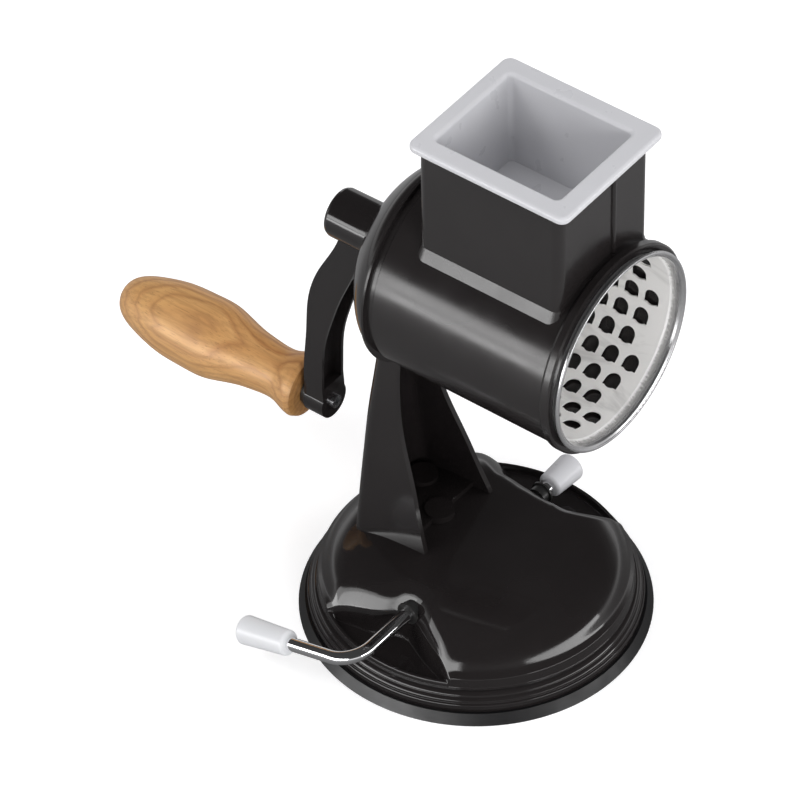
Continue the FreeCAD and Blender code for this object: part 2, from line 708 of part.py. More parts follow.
def column():
    outer = side_silhouette(COLUMN_FRONT, COLUMN_REAR, [COLUMN_TOP_FRONT, COLUMN_TOP_REAR])
    outer = outer.common(front_silhouette(0.0, DRUM_AXIS_Z))
    outer = outer.makeFillet(COLUMN_CORNER_R * 0.8, rear_edges(outer))
    hollow_rear = [(x + COLUMN_WALL, z) for x, z in COLUMN_REAR]
    hollow_front = [(x + 20.0, z) for x, z in COLUMN_FRONT]
    hollow = side_silhouette(hollow_front, hollow_rear, [])
    hollow = hollow.common(front_silhouette(COLUMN_WALL, DRUM_AXIS_Z))
    hollow = hollow.makeFillet(COLUMN_CORNER_R * 0.8 - COLUMN_WALL / 2, rear_edges(hollow))
    reach = 2 * COLUMN_HEAD_Z
    hollow = hollow.common(Part.makeBox(reach, reach, COLUMN_HEAD_Z, V(-reach / 2, -reach / 2, 0)))
    dome = base_solid()
    raised = base_outer()
    raised.translate(V(0, 0, COLUMN_FLOOR_T))
    back = Part.makeBox(100, 200, 100, V(COLUMN_FLOOR_FRONT_X - 100, -100, 0))
    floor = raised.common(hollow).common(outer).common(back)
    bosses = [rod_z(x, y, SCREW_PAD_Z, FOOT_BOSS_TOP, FOOT_BOSS_R).common(outer)
              for x, y in FOOT_SCREWS]
    body = union([outer.cut(hollow), floor] + bosses)
    body = body.cut(dome)
    body = body.cut(cover_envelope(0.0))
    barrel_profile = [(BARREL_REAR_X, 0.0)] + housing_profile() + [(MOUTH_X, 0.0)]
    body = body.cut(revolve_x(barrel_profile, DRUM_AXIS_Z))
    for x, y in FOOT_SCREWS:
        body = body.cut(rod_z(x, y, SCREW_PAD_Z, FOOT_BOSS_TOP - FOOT_BOSS_CAP, SCREW_R))
    for x, y in head_screw_places():
        body = body.cut(rod_z(x, y, COLUMN_HEAD_Z - 1.0, DRUM_AXIS_Z, SCREW_R))
    return body.removeSplitter()


def upright_screw(x, y, head_z, tip_z):
    """Pan-head screw on a Z line; the head lies beyond head_z, away from the tip."""
    up = 1 if tip_z > head_z else -1
    head_low = head_z - SCREW_HEAD_T if up > 0 else head_z
    shank = rod_z(x, y, min(head_z, tip_z), max(head_z, tip_z), SCREW_R)
    head = rod_z(x, y, head_low, head_low + SCREW_HEAD_T, SCREW_HEAD_R)
    slot_z = head_low if up > 0 else head_low + SCREW_HEAD_T - CROSS_DEPTH
    a = Part.makeBox(CROSS_LENGTH, CROSS_WIDTH, CROSS_DEPTH,
                     V(x - CROSS_LENGTH / 2, y - CROSS_WIDTH / 2, slot_z))
    b = Part.makeBox(CROSS_WIDTH, CROSS_LENGTH, CROSS_DEPTH,
                     V(x - CROSS_WIDTH / 2, y - CROSS_LENGTH / 2, slot_z))
    return union([shank, head]).cut(a.fuse(b))


def foot_screws():
    tip = FOOT_BOSS_TOP - FOOT_BOSS_CAP - 0.5
    return Part.makeCompound([upright_screw(x, y, SCREW_PAD_Z, tip)
                              for x, y in FOOT_SCREWS])


def head_screws():
    return Part.makeCompound([upright_screw(x, y, COLUMN_HEAD_Z, COLUMN_HEAD_Z + HEAD_SCREW_LENGTH)
                              for x, y in head_screw_places()])


# ------------------------------------------------------------------ crank

def drive_shaft():
    square = Part.makeBox(SHAFT_FRONT_X - SHAFT_ROUND_END_X, SHAFT_SQUARE, SHAFT_SQUARE,
                          V(SHAFT_ROUND_END_X, -SHAFT_SQUARE / 2, DRUM_AXIS_Z - SHAFT_SQUARE / 2))
    body = union([rod_x(SHAFT_REAR_X, SHAFT_ROUND_END_X, SHAFT_R), square])
    return body.cut(tube_x(CLIP_X, CLIP_X + CLIP_T, SHAFT_R + 2, CLIP_GROOVE_R))


def shaft_clip():
    ring = tube_x(CLIP_X, CLIP_X + CLIP_T, CLIP_R, CLIP_GROOVE_R)
    mouth = Part.makeBox(CLIP_T + 2, 1.3 * CLIP_GROOVE_R, CLIP_R + 1,
                         V(CLIP_X - 1, -0.65 * CLIP_GROOVE_R, DRUM_AXIS_Z))
    return ring.cut(mouth)


def shaft_washer():
    return tube_x(HUB_INNER_X, HUB_INNER_X + WASHER_T, WASHER_R, SHAFT_R)


def arm_side():
    outer = [V(x, 0, z) for x, z in ARM_OUTER]
    inner = [V(x, 0, z) for x, z in ARM_INNER]
    foot = ARM_END_R + GRIP_AXIS_Z - 3.0
    low = GRIP_AXIS_Z - ARM_END_R - 1.0
    hub_low = DRUM_AXIS_Z
    edges = [spline(outer), line(outer[-1], V(ARM_OUTER_FACE_X, 0, foot)),
             line(V(ARM_OUTER_FACE_X, 0, foot), V(ARM_OUTER_FACE_X, 0, low)),
             line(V(ARM_OUTER_FACE_X, 0, low), V(ARM_INNER_FACE_X, 0, low)),
             line(V(ARM_INNER_FACE_X, 0, low), V(ARM_INNER_FACE_X, 0, foot)),
             line(V(ARM_INNER_FACE_X, 0, foot), inner[0]), spline(inner),
             line(inner[-1], V(-57.0, 0, hub_low)), line(V(-57.0, 0, hub_low), V(-66.0, 0, hub_low)),
             line(V(-66.0, 0, hub_low), outer[0])]
    face = face_from(edges)
    face.translate(V(0, -20, 0))
    return face.extrude(V(0, 40, 0))


def arm_front(inset):
    stem = Part.makeBox(60, 2 * (ARM_HALF - inset), DRUM_AXIS_Z - GRIP_AXIS_Z,
                        V(-110, -ARM_HALF + inset, GRIP_AXIS_Z))
    return union([rod_x(-110, -50, ARM_END_R - inset, 0.0, GRIP_AXIS_Z), stem])


def crank_arm():
    hub_profile = [(HUB_INNER_X, 0.0), (HUB_INNER_X, HUB_R + 0.6), (-56.0, HUB_R + 0.2),
                   (HUB_OUTER_X + 2.0, HUB_R), (HUB_OUTER_X + 0.6, HUB_R - 0.6),
                   (HUB_OUTER_X, HUB_R - 2.0), (HUB_OUTER_X, 0.0)]
    hub = revolve_x(hub_profile, DRUM_AXIS_Z)
    arm = arm_side().common(arm_front(0.0))
    body = union([hub, arm])
    recess = arm_side()
    recess.translate(V(ARM_RECESS, 0, 0))
    thin = arm_side().common(arm_front(ARM_LIP))
    keep = arm_side()
    keep.translate(V(-ARM_RECESS, 0, 0))
    window = Part.makeBox(80, 40, ARM_RECESS_TOP_Z - ARM_RECESS_LOW_Z,
                          V(-110, -20, ARM_RECESS_LOW_Z))
    groove = thin.cut(keep).common(window)
    body = body.cut(groove)
    body = body.cut(rod_x(SHAFT_REAR_X, HUB_INNER_X + 1, SHAFT_R))
    body = body.cut(rod_x(-100, -70, ARM_SCREW_R, 0.0, GRIP_AXIS_Z))
    return body.removeSplitter()


def grip_screw():
    head = rod_x(ARM_INNER_FACE_X, ARM_INNER_FACE_X + ARM_SCREW_HEAD_T, ARM_SCREW_HEAD_R,
                 0.0, GRIP_AXIS_Z)
    shank = rod_x(SPINDLE_THREAD_X + 2.0, ARM_INNER_FACE_X, ARM_SCREW_R, 0.0, GRIP_AXIS_Z)
    tip = cross_recess(ARM_INNER_FACE_X + ARM_SCREW_HEAD_T, -1, 0.0, GRIP_AXIS_Z)
    return union([head, shank]).cut(tip)


def grip_spacer():
    return tube_x(SPACER_X, ARM_OUTER_FACE_X, SPACER_R, SPINDLE_R, GRIP_AXIS_Z)


def grip_spindle():
    pin = rod_x(SPINDLE_END_X, ARM_OUTER_FACE_X, SPINDLE_R, 0.0, GRIP_AXIS_Z)
    head = rod_x(SPINDLE_END_X, SPINDLE_END_X + SPINDLE_HEAD_T, SPINDLE_HEAD_R, 0.0, GRIP_AXIS_Z)
    thread = rod_x(SPINDLE_THREAD_X, ARM_OUTER_FACE_X + 1, ARM_SCREW_R, 0.0, GRIP_AXIS_Z)
    return union([pin, head]).cut(thread)


def wooden_grip():
    curve = [V(x, 0, GRIP_AXIS_Z + r) for x, r in GRIP_PROFILE]
    face_corner = V(GRIP_FACE_X, 0, GRIP_AXIS_Z + GRIP_FACE_R)
    edges = [spline(curve), line(curve[-1], V(GRIP_FACE_X - 1.0, 0, GRIP_AXIS_Z + 14.8)),
             line(V(GRIP_FACE_X - 1.0, 0, GRIP_AXIS_Z + 14.8), face_corner),
             line(face_corner, V(GRIP_FACE_X, 0, GRIP_AXIS_Z)),
             line(V(GRIP_FACE_X, 0, GRIP_AXIS_Z), curve[0])]
    body = face_from(edges).revolve(V(0, 0, GRIP_AXIS_Z), X, 360)
    return body.cut(rod_x(GRIP_BORE_END_X, GRIP_FACE_X + 1, GRIP_BUSH_R, 0.0, GRIP_AXIS_Z))


def grip_bush():
    return tube_x(GRIP_BUSH_END_X, GRIP_FACE_X - 0.4, GRIP_BUSH_R, SPINDLE_R + RUN_FIT,
                  GRIP_AXIS_Z)


# ------------------------------------------------------------------ drum

def drum_shell():
    """Sheet with a shallow step near the mouth, then a flare into the rolled rim."""
    centre_r = DRUM_RIM_R - DRUM_ROLL
    centre_x = DRUM_RIM_X - DRUM_ROLL
    band = DRUM_R + DRUM_BAND_STEP
    t = DRUM_SHEET
    flare_x = centre_x - DRUM_FLARE
    outer = [(DRUM_REAR_X, DRUM_R), (DRUM_BAND_X, DRUM_R), (DRUM_BAND_X + 0.9, band),
             (flare_x, band), (flare_x + 0.55 * DRUM_FLARE, band + 0.35),
             (centre_x - 0.3, centre_r - 0.4)]
    inner = [(DRUM_RIM_X - 0.25, centre_r - 0.5), (centre_x, band - 0.1),
             (flare_x + 0.65 * DRUM_FLARE, band - t + 0.2), (flare_x, band - t),
             (DRUM_BAND_X + 0.9, band - t), (DRUM_BAND_X, DRUM_R - t), (DRUM_REAR_X, DRUM_R - t)]
    sheet = revolve_x(outer + inner, DRUM_AXIS_Z)
    roll = Part.makeTorus(centre_r, DRUM_ROLL, V(centre_x, 0, DRUM_AXIS_Z), X)
    return union([sheet, roll])


def hole_places():
    """(x, angle) of each grating hole on its helical rows."""
    places = []
    shift = HOLE_TURNS * HOLE_PITCH / HOLE_ROWS
    for row in range(HOLE_ROWS):
        angle = HOLE_FIRST_DEG + row * 360.0 / HOLE_ROWS
        x = HOLE_FIRST_X + row * shift
        while x > HOLE_MAX_X:
            x -= HOLE_PITCH
        while x > HOLE_MIN_X:
            places.append((x, angle))
            x -= HOLE_PITCH
    return places


def hole_cutter():
    """Hole outline at the top of the drum: round, with two pointed ears on its low side."""
    r = HOLE_R
    root_y = math.sqrt(r * r - EAR_ROOT_X * EAR_ROOT_X)
    z0 = DRUM_AXIS_Z + DRUM_R - 6.0
    edges = [Part.Arc(V(r, 0, z0), V(0, -r, z0), V(-r, 0, z0)).toShape(),
             line(V(-r, 0, z0), V(-EAR_X, EAR_Y, z0)),
             line(V(-EAR_X, EAR_Y, z0), V(-EAR_ROOT_X, root_y, z0)),
             Part.Arc(V(-EAR_ROOT_X, root_y, z0), V(0, r, z0), V(EAR_ROOT_X, root_y, z0)).toShape(),
             line(V(EAR_ROOT_X, root_y, z0), V(EAR_X, EAR_Y, z0)),
             line(V(EAR_X, EAR_Y, z0), V(r, 0, z0))]
    return face_from(edges).extrude(V(0, 0, 12.0))


def drum():
    cutter = hole_cutter()
    cutters = []
    for x, angle in hole_places():
        one = cutter.copy()
        one.translate(V(x, 0, 0))
        one.rotate(V(0, 0, DRUM_AXIS_Z), X, angle - 90.0)
        cutters.append(one)
    return drum_shell().cut(cutters)


def drum_back():
    plate_r = DRUM_R - DRUM_SHEET
    profile = [(BACK_PLATE_X, 0.0), (BACK_PLATE_X, plate_r - 2.4), (DRUM_REAR_X + 0.4, plate_r - 1.2),
               (DRUM_REAR_X + 0.4, plate_r), (BACK_PLATE_X + 0.6, plate_r),
               (BACK_PLATE_X + BACK_PLATE_T, plate_r - 1.6), (BACK_PLATE_X + BACK_PLATE_T, 0.0)]
    plate = revolve_x(profile, DRUM_AXIS_Z)
    plate = plate.cut(rod_x(BACK_PLATE_X - 2, BACK_PLATE_X + 3, SOCKET_R))
    for y, z in rivet_places():
        plate = plate.cut(rod_x(BACK_PLATE_X - 2, BACK_PLATE_X + 3, RIVET_R, y, z))
    return plate


def rivet_places():
    places = []
    for i in range(RIVET_COUNT):
        a = math.radians(90 + 360.0 * i / RIVET_COUNT)
        places.append((RIVET_PCD_R * math.cos(a), DRUM_AXIS_Z + RIVET_PCD_R * math.sin(a)))
    return places


def drum_socket():
    """Plastic hub with the square hole that slips over the drive shaft."""
    barrel = rod_x(SOCKET_REAR_X, SOCKET_FRONT_X - 2.0, SOCKET_NOSE_R)
    seat = rod_x(BACK_PLATE_X - SOCKET_FLANGE_T, BACK_PLATE_X + BACK_PLATE_T, SOCKET_R)
    flange = rod_x(BACK_PLATE_X - SOCKET_FLANGE_T, BACK_PLATE_X, SOCKET_FLANGE_R)
    nose = Part.makeCone(SOCKET_NOSE_R, SOCKET_NOSE_R - 2.0, 2.0,
                         V(SOCKET_FRONT_X - 2.0, 0, DRUM_AXIS_Z), X)
    body = union([barrel, seat, flange, nose])
    side = SHAFT_SQUARE + 2 * SOCKET_GAP
    depth = SHAFT_FRONT_X + 1.0 - SOCKET_REAR_X
    hole = Part.makeBox(depth, side, side, V(SOCKET_REAR_X, -side / 2, DRUM_AXIS_Z - side / 2))
    body = body.cut(hole)
    body = body.cut(rod_x(SOCKET_REAR_X - 1, SHAFT_ROUND_END_X + 2.0, SHAFT_R + SLIDE_GAP))
    for y, z in rivet_places():
        body = body.cut(rod_x(BACK_PLATE_X - 5, BACK_PLATE_X + 3, RIVET_R, y, z))
    return body


def socket_rivets():
    rivets = []
    front = BACK_PLATE_X + BACK_PLATE_T
    rear = BACK_PLATE_X - SOCKET_FLANGE_T
    for y, z in rivet_places():
        shank = rod_x(rear, front, RIVET_R, y, z)
        head = rod_x(front, front + 1.0, RIVET_HEAD_R, y, z)
        tail = rod_x(rear - 0.8, rear, RIVET_HEAD_R, y, z)
        rivets.append(union([shank, head, tail]))
    return Part.makeCompound(rivets)


# ------------------------------------------------------------------ pusher

def pusher():
    """Hollow pusher: tapered cup with a rounded square flange."""
    base_z = PUSHER_TOP_Z - PUSHER_FLANGE_T
    flange = rounded_prism(HOPPER_X0 - PUSHER_OVER_REAR, HOPPER_X1 + PUSHER_OVER_FRONT,
                           HOPPER_HALF + PUSHER_OVER_SIDE, PUSHER_CORNER_R, base_z, PUSHER_TOP_Z)
    rims = [edge for edge in flange.Edges if edge.BoundBox.ZLength < 0.01]
    flange = flange.makeFillet(PUSHER_EDGE_R, rims)
    w = PUSHER_WALL
    t = PUSHER_TAPER
    body = frustum(
        rounded_wire(PUSHER_CUP_X0 - w + t, PUSHER_CUP_X1 + w - t, PUSHER_CUP_HALF + w - t,
                     PUSHER_CUP_R + w, PUSHER_FLOOR_Z - w),
        rounded_wire(PUSHER_CUP_X0 - w, PUSHER_CUP_X1 + w, PUSHER_CUP_HALF + w,
                     PUSHER_CUP_R + w, base_z + 1.0))
    cup = frustum(
        rounded_wire(PUSHER_CUP_X0 + t, PUSHER_CUP_X1 - t, PUSHER_CUP_HALF - t,
                     PUSHER_CUP_R, PUSHER_FLOOR_Z),
        rounded_wire(PUSHER_CUP_X0, PUSHER_CUP_X1, PUSHER_CUP_HALF, PUSHER_CUP_R,
                     PUSHER_TOP_Z))
    hollowed = union([flange, body]).cut(cup)
    inner = HOPPER_HALF
    brow = []
    for edge in hollowed.Edges:
        box = edge.BoundBox
        level = abs(box.ZMax - PUSHER_TOP_Z) < 0.01 and box.ZLength < 0.01
        if level and box.YMax < inner and box.YMin > -inner:
            if box.XMin > HOPPER_X0 and box.XMax < HOPPER_X1:
                brow.append(edge)
    return hollowed.makeFillet(PUSHER_BROW_R, brow)


PARTS = {
    "base_shell": base_shell,
    "suction_cup": suction_cup,
    "cup_stem": cup_stem,
    "rod_bushes": rod_bushes,
    "suction_lever": suction_lever,
    "lever_cap_near": lever_cap_near,
    "lever_cap_far": lever_cap_far,
    "column": column,
    "foot_screws": foot_screws,
    "head_screws": head_screws,
    "drum_housing": drum_housing,
    "rear_cover": rear_cover,
    "shaft_bush": shaft_bush,
    "drive_shaft": drive_shaft,
    "shaft_clip": shaft_clip,
    "shaft_washer": shaft_washer,
    "crank_arm": crank_arm,
    "grip_screw": grip_screw,
    "grip_spacer": grip_spacer,
    "grip_spindle": grip_spindle,
    "wooden_grip": wooden_grip,
    "grip_bush": grip_bush,
    "drum": drum,
    "drum_back": drum_back,
    "drum_socket": drum_socket,
    "socket_rivets": socket_rivets,
    "pusher": pusher,
}

os.makedirs("parts", exist_ok=True)
for name, make in PARTS.items():
    shape = make()
    box = shape.BoundBox
    print("%-15s solids %d valid %s vol %.0f  x %.1f..%.1f y %.1f..%.1f z %.1f..%.1f" % (
        name, len(shape.Solids), shape.isValid(), shape.Volume,
        box.XMin, box.XMax, box.YMin, box.YMax, box.ZMin, box.ZMax))
    shape.exportStep("parts/" + name + ".step")
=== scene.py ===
import json
import math

import bpy
import numpy as np
from mathutils import Matrix, Vector


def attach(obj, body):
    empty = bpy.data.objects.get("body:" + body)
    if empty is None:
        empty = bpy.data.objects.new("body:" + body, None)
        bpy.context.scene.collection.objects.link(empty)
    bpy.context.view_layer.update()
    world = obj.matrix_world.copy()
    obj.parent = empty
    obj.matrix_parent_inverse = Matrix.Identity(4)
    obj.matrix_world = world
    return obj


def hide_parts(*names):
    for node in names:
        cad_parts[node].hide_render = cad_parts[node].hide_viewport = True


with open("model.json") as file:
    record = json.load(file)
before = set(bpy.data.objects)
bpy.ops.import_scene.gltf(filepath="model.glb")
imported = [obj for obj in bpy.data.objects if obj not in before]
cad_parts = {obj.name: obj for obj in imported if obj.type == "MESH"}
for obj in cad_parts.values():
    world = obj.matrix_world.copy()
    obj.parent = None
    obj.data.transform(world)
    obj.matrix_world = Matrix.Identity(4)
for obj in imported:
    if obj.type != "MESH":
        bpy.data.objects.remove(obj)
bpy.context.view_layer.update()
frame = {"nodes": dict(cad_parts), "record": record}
MM = 0.001


# ------------------------------------------------------------------ camera

CAM_AZ, CAM_EL, CAM_ROLL = math.radians(37.7446), math.radians(43.4089), math.radians(-0.7798)
CAM_DIST = 2.84766
CAM_FOCAL_PX = 6532.96
CAM_TARGET = Vector((0.009686, -0.067911, 0.182927))
SENSOR_MM = 36.0
IMAGE_PX = 800.0


def make_camera():
    """Camera that looks at the target from the given direction, with a small roll."""
    back = Vector((math.sin(CAM_AZ) * math.cos(CAM_EL), -math.cos(CAM_AZ) * math.cos(CAM_EL),
                   math.sin(CAM_EL)))
    fwd = -back
    right = fwd.cross(Vector((0, 0, 1))).normalized()
    up = right.cross(fwd).normalized()
    cr, sr = math.cos(CAM_ROLL), math.sin(CAM_ROLL)
    r_axis = cr * right + sr * up
    u_axis = -sr * right + cr * up
    loc = CAM_TARGET + back * CAM_DIST
    data = bpy.data.cameras.new("camera")
    data.sensor_width = SENSOR_MM
    data.lens = CAM_FOCAL_PX * SENSOR_MM / IMAGE_PX
    data.clip_start = 0.1
    data.clip_end = 50.0
    cam = bpy.data.objects.new("camera", data)
    bpy.context.scene.collection.objects.link(cam)
    cam.matrix_world = Matrix(((r_axis.x, u_axis.x, back.x, loc.x),
                               (r_axis.y, u_axis.y, back.y, loc.y),
                               (r_axis.z, u_axis.z, back.z, loc.z),
                               (0, 0, 0, 1)))
    bpy.context.scene.camera = cam


make_camera()
bpy.context.scene.view_settings.view_transform = "Standard"


# ------------------------------------------------------------------ shader helpers

class Tree:
    """Small helper that adds nodes to a material and links them."""

    def __init__(self, name):
        self.mat = bpy.data.materials.new(name)
        self.mat.use_nodes = True
        self.nt = self.mat.node_tree
        self.bsdf = self.nt.nodes["Principled BSDF"]

    def put(self, socket, value):
        if isinstance(value, bpy.types.NodeSocket):
            self.nt.links.new(value, socket)
        else:
            socket.default_value = value

    def coords(self, scale=(1, 1, 1), rot=(0, 0, 0)):
        """Object coordinates in metres, stretched and turned for a pattern."""
        tc = self.nt.nodes.new("ShaderNodeTexCoord")
        mp = self.nt.nodes.new("ShaderNodeMapping")
        mp.inputs["Scale"].default_value = scale
        mp.inputs["Rotation"].default_value = rot
        self.nt.links.new(tc.outputs["Object"], mp.inputs["Vector"])
        return mp.outputs["Vector"]

    def noise(self, vector, scale=10.0, detail=4.0, rough=0.5, distortion=0.0):
        n = self.nt.nodes.new("ShaderNodeTexNoise")
        self.put(n.inputs["Vector"], vector)
        n.inputs["Scale"].default_value = scale
        n.inputs["Detail"].default_value = detail
        n.inputs["Roughness"].default_value = rough
        n.inputs["Distortion"].default_value = distortion
        return n.outputs["Fac"]

    def ramp(self, fac, stops):
        n = self.nt.nodes.new("ShaderNodeValToRGB")
        self.put(n.inputs["Fac"], fac)
        el = n.color_ramp.elements
        while len(el) > 1:
            el.remove(el[-1])
        el[0].position = stops[0][0]
        el[0].color = (*stops[0][1], 1)
        for p, c in stops[1:]:
            e = el.new(p)
            e.color = (*c, 1)
        return n.outputs["Color"]

    def grey(self, fac, stops):
        return self.ramp(fac, [(p, (v, v, v)) for p, v in stops])

    def mix(self, fac, a, b, blend="MIX"):
        n = self.nt.nodes.new("ShaderNodeMix")
        n.data_type = "RGBA"
        n.blend_type = blend
        self.put(n.inputs[0], fac)
        self.put(n.inputs[6], a if isinstance(a, bpy.types.NodeSocket) else (*a, 1))
        self.put(n.inputs[7], b if isinstance(b, bpy.types.NodeSocket) else (*b, 1))
        return n.outputs[2]

    def math(self, op, a, b=0.0):
        n = self.nt.nodes.new("ShaderNodeMath")
        n.operation = op
        self.put(n.inputs[0], a)
        self.put(n.inputs[1], b)
        return n.outputs[0]

    def dot(self, vector, axis):
        n = self.nt.nodes.new("ShaderNodeVectorMath")
        n.operation = "DOT_PRODUCT"
        self.put(n.inputs[0], vector)
        n.inputs[1].default_value = axis
        return n.outputs["Value"]

    def bump(self, height, strength, distance):
        n = self.nt.nodes.new("ShaderNodeBump")
        n.inputs["Strength"].default_value = strength
        n.inputs["Distance"].default_value = distance
        self.put(n.inputs["Height"], height)
        return n.outputs["Normal"]

    def set(self, **values):
        names = {"color": "Base Color", "rough": "Roughness", "metal": "Metallic",
                 "normal": "Normal", "ior": "IOR", "coat": "Coat Weight",
                 "coat_rough": "Coat Roughness", "sss": "Subsurface Weight",
                 "sss_radius": "Subsurface Radius", "sss_scale": "Subsurface Scale"}
        for key, value in values.items():
            self.put(self.bsdf.inputs[names[key]], value)
        return self.mat


def rgb(r, g, b):
    """Linear colour from sRGB values of 0 to 255."""
    out = []
    for v in (r, g, b):
        v = v / 255.0
        out.append(v / 12.92 if v <= 0.04045 else ((v + 0.055) / 1.055) ** 2.4)
    return tuple(out)


# ------------------------------------------------------------------ materials

def gloss_black(name, low, high):
    """Black moulded plastic with roughness between low and high."""
    t = Tree(name)
    v = t.coords()
    cloud = t.noise(v, 22.0, 3.0)
    fine = t.noise(v, 900.0, 2.0)
    color = t.ramp(cloud, [(0.3, rgb(30, 27, 27)), (0.7, rgb(35, 32, 32))])
    rough = t.grey(t.noise(v, 60.0, 6.0, 0.6), [(0.35, low), (0.75, high)])
    return t.set(color=color, rough=rough, normal=t.bump(fine, 0.03, 0.0002), ior=1.47)


def cup_rubber():
    """Black rubber with a fine grain."""
    t = Tree("cup_rubber")
    v = t.coords()
    color = t.ramp(t.noise(v, 40.0, 5.0), [(0.3, rgb(9, 9, 11)), (0.7, rgb(14, 13, 15))])
    fine = t.noise(v, 700.0, 4.0)
    rough = t.grey(t.noise(v, 80.0, 4.0), [(0.3, 0.38), (0.7, 0.5)])
    return t.set(color=color, rough=rough, normal=t.bump(fine, 0.12, 0.0003))


def light_grey():
    """Pale grey moulded plastic that lets a little light in."""
    t = Tree("light_grey")
    v = t.coords()
    color = t.ramp(t.noise(v, 18.0, 3.0), [(0.3, rgb(204, 204, 207)), (0.7, rgb(211, 211, 214))])
    fine = t.noise(v, 1200.0, 3.0)
    rough = t.grey(t.noise(v, 90.0, 5.0), [(0.3, 0.26), (0.7, 0.36)])
    return t.set(color=color, rough=rough, normal=t.bump(fine, 0.05, 0.0002), sss=0.12,
                 sss_radius=(1.0, 1.0, 1.0), sss_scale=0.004)


def near_cap_painted_lighter():
    """White moulded plastic of the lever's near cap, a lighter copy that paints light on it, since both
    caps are the same plastic.
    """
    t = Tree("near_cap_painted_lighter")
    v = t.coords()
    color = t.ramp(t.noise(v, 30.0, 3.0), [(0.3, rgb(228, 229, 231)), (0.7, rgb(235, 236, 238))])
    rough = t.grey(t.noise(v, 120.0, 5.0), [(0.3, 0.28), (0.7, 0.38)])
    return t.set(color=color, rough=rough, normal=t.bump(t.noise(v, 1100.0, 3.0), 0.05, 0.0002))


def chrome():
    """Chromed rod with faint wear."""
    t = Tree("rod_chrome")
    v = t.coords()
    color = t.ramp(t.noise(v, 60.0, 4.0), [(0.3, (0.80, 0.80, 0.81)), (0.7, (0.88, 0.88, 0.89))])
    rough = t.grey(t.noise(v, 220.0, 5.0, 0.6), [(0.4, 0.05), (0.8, 0.13)])
    return t.set(color=color, rough=rough, metal=1.0)


def brushed(name, tone, stretch, low, high):
    """Metal with fine lines along the direction that stretch leaves longest."""
    t = Tree(name)
    lines = t.noise(t.coords(scale=stretch), 1.0, 6.0, 0.65)
    cloud = t.noise(t.coords(), 45.0, 3.0)
    a = tuple(0.93 * c for c in tone)
    color = t.mix(cloud, a, tone)
    rough = t.grey(lines, [(0.3, low), (0.75, high)])
    return t.set(color=color, rough=rough, metal=1.0, normal=t.bump(lines, 0.06, 0.0002))


def nylon():
    """Cream bearing plastic."""
    t = Tree("bearing_plastic")
    v = t.coords()
    color = t.ramp(t.noise(v, 50.0, 3.0), [(0.3, rgb(222, 218, 205)), (0.7, rgb(232, 228, 216))])
    return t.set(color=color, rough=t.grey(t.noise(v, 300.0, 4.0), [(0.3, 0.36), (0.7, 0.5)]),
                 sss=0.1, sss_scale=0.002, normal=t.bump(t.noise(v, 900.0, 2.0), 0.05, 0.0002))


def spacer_black():
    """Dark grey plastic of the spacer and bushes."""
    t = Tree("spacer_black")
    v = t.coords()
    return t.set(color=t.ramp(t.noise(v, 120.0), [(0.3, rgb(38, 38, 38)), (0.7, rgb(48, 47, 46))]),
                 rough=0.35, normal=t.bump(t.noise(v, 1500.0), 0.1, 0.0002))


GRIP_Z = 0.080
RING_DIST = 0.062
RING_PITCH = 0.0031
RING_WARP = 0.0062


def wood():
    """Turned hardwood: growth rings round an axis beside the grip, which show as ovals on the bulge."""
    t = Tree("grip_wood")
    v = t.coords()
    depth = t.math("ADD", t.dot(v, (0.04, -0.60, 0.80)), RING_DIST - 0.80 * GRIP_Z)
    across = t.math("SUBTRACT", t.dot(v, (0.0, 0.80, 0.60)), 0.60 * GRIP_Z)
    dist = t.math("SQRT", t.math("ADD", t.math("MULTIPLY", depth, depth),
                                 t.math("MULTIPLY", across, across)))
    warp = t.noise(t.coords(scale=(26.0, 60.0, 60.0)), 1.0, 3.0, 0.55, 0.4)
    soft = t.noise(t.coords(scale=(9.0, 40.0, 40.0)), 1.0, 2.0, 0.5)
    dist = t.math("ADD", dist, t.math("MULTIPLY", warp, RING_WARP))
    rings = t.math("FRACT", t.math("MULTIPLY", dist, 1.0 / RING_PITCH))
    tone = t.ramp(rings, [(0.0, rgb(172, 114, 62)), (0.25, rgb(212, 162, 100)),
                          (0.72, rgb(198, 144, 84)), (0.93, rgb(136, 82, 40)),
                          (1.0, rgb(162, 104, 56))])
    broad = t.ramp(soft, [(0.3, rgb(162, 106, 56)), (0.7, rgb(222, 172, 110))])
    color = t.mix(0.58, tone, broad)
    streaks = t.noise(t.coords(scale=(22.0, 520.0, 520.0), rot=(0, 0.02, 0.03)), 1.0, 5.0, 0.6)
    color = t.mix(t.grey(streaks, [(0.42, 0.0), (0.72, 0.5)]), color, rgb(146, 101, 56))
    pores = t.noise(t.coords(scale=(130.0, 2200.0, 2200.0)), 1.0, 2.0, 0.5)
    color = t.mix(t.grey(pores, [(0.62, 0.0), (0.72, 0.45)]), color, rgb(108, 70, 38))
    end = t.grey(t.math("MULTIPLY", t.dot(v, (-1.0, 0.0, 0.0)), 10.0),
                 [(0.955, 0.5), (0.975, 0.0)])
    color = t.mix(end, color, rgb(124, 80, 42))
    height = t.math("SUBTRACT", t.grey(streaks, [(0.3, 0.0), (0.7, 1.0)]),
                    t.grey(pores, [(0.6, 0.0), (0.72, 1.0)]))
    rough = t.grey(streaks, [(0.3, 0.36), (0.8, 0.5)])
    return t.set(color=color, rough=rough, normal=t.bump(height, 0.12, 0.0003), coat=0.12,
                 coat_rough=0.3)


